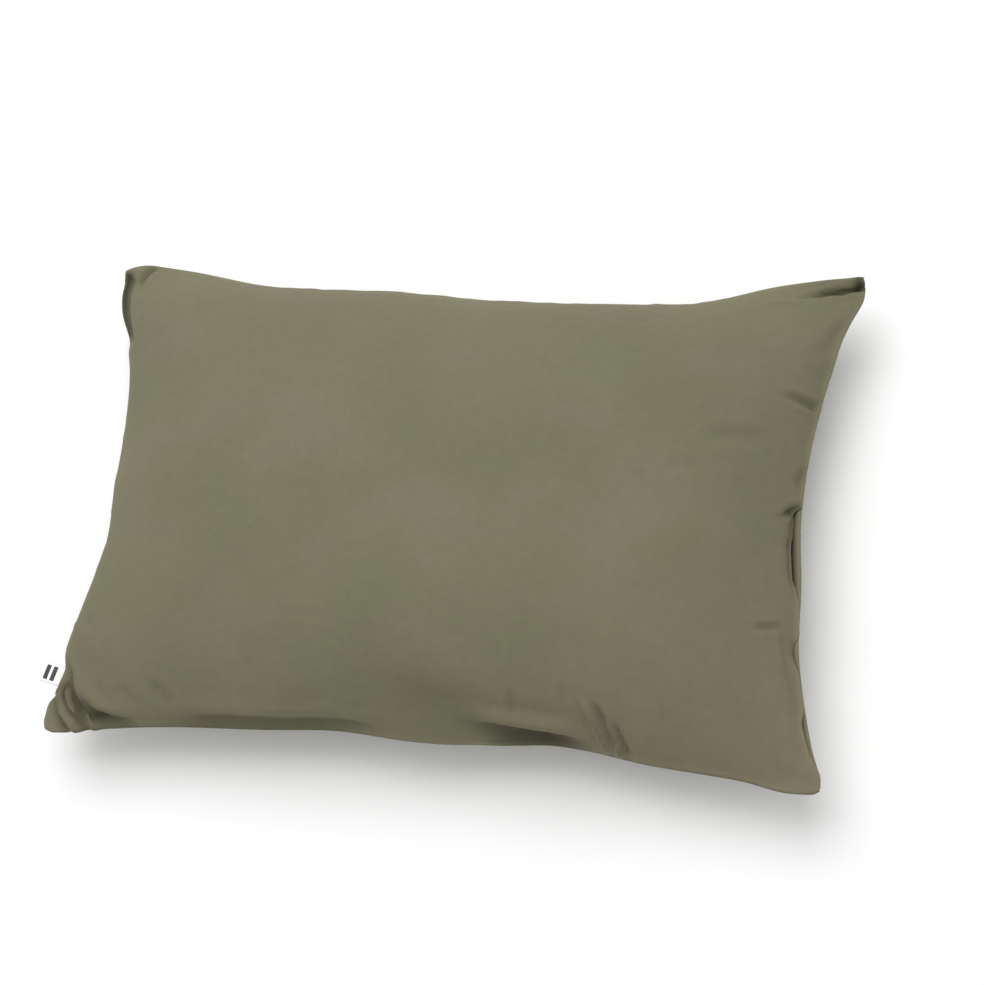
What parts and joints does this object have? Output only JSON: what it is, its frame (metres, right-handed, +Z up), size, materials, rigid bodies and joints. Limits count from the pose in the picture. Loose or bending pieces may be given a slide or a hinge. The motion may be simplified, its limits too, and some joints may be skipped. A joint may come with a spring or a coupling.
{
  "type": "pillow",
  "caption": "Stuffed oblong pillow in a washed cotton envelope case: one open end with a tuck flap inside, a fibre-filled insert, and a woven side label on the closed end's seam.",
  "frame": {"origin": "middle of the pillow's box, at the surface that its back panel rests on", "axes": "+X along the pillow towards the case's open end, +Y across it towards the upper seam, +Z up out of the front panel"},
  "size_m": [0.6006, 0.3851, 0.1314],
  "materials": {
    "case_cloth": "matte",
    "case_thread": "matte",
    "ticking_cloth": "matte",
    "insert_thread": "matte",
    "label_tape": "satin",
    "fill_fibre": "matte"
  },
  "bodies": {
    "pillow": {"case_front_panel": "case_cloth", "case_back_panel": "case_cloth", "case_tuck_flap": "case_cloth", "closed_end_seam_thread": "case_thread", "upper_seam_thread": "case_thread", "lower_seam_thread": "case_thread", "back_hem_thread": "case_thread", "flap_hem_thread": "case_thread", "upper_bar_tack": "case_thread", "lower_bar_tack": "case_thread", "insert_front_ticking": "ticking_cloth", "insert_back_ticking": "ticking_cloth", "insert_seam_thread": "insert_thread", "insert_closing_thread": "insert_thread", "case_care_label": "label_tape", "insert_care_label": "label_tape", "fibre_fill": "fill_fibre"},
    "label": {"side_label": "label_tape"}
  },
  "joints": [
    {"name": "label_flip", "type": "hinge", "parent": "pillow", "child": "label", "pos_m": [-0.28089, -0.15644, 0.056], "axis": [0.2116, 0.9774, 0], "range_deg": [-70, 70], "stiffness_Nm_per_rad": 0.00002}
  ]
}
